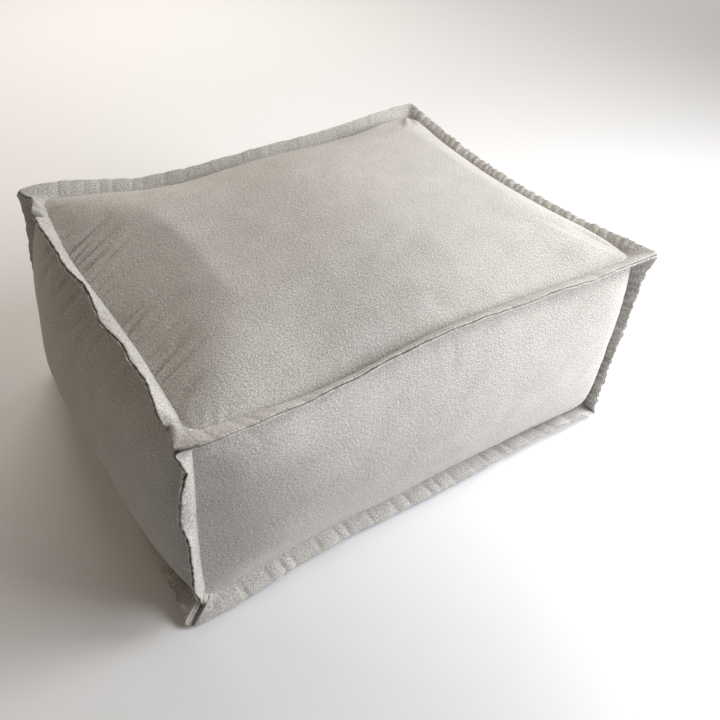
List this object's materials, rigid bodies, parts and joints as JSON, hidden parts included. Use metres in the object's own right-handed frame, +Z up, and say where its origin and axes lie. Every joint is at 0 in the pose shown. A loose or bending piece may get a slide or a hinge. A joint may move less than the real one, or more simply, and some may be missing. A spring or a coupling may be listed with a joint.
{
  "type": "pouf",
  "caption": "Box-shaped soft pouf of woven cloth: crowned filled body with a two-layer flange standing out along every seam and a pointed ear at every corner.",
  "frame": {"origin": "on the floor, under the middle of the pouf", "axes": "+X along the long front, +Y from the front to the back, +Z up; the long side that the picture shows faces -Y"},
  "size_m": [0.8049, 0.6022, 0.38],
  "materials": {
    "panel_cloth": "matt melange weave, greige",
    "flange_cloth": "matt melange weave, greige"
  },
  "bodies": {
    "root": {"filled_body": "panel_cloth", "top_panel_flange": "flange_cloth", "bottom_panel_flange": "flange_cloth", "front_panel_flange": "flange_cloth", "back_panel_flange": "flange_cloth", "left_panel_flange": "flange_cloth", "right_panel_flange": "flange_cloth"}
  },
  "joints": []
}
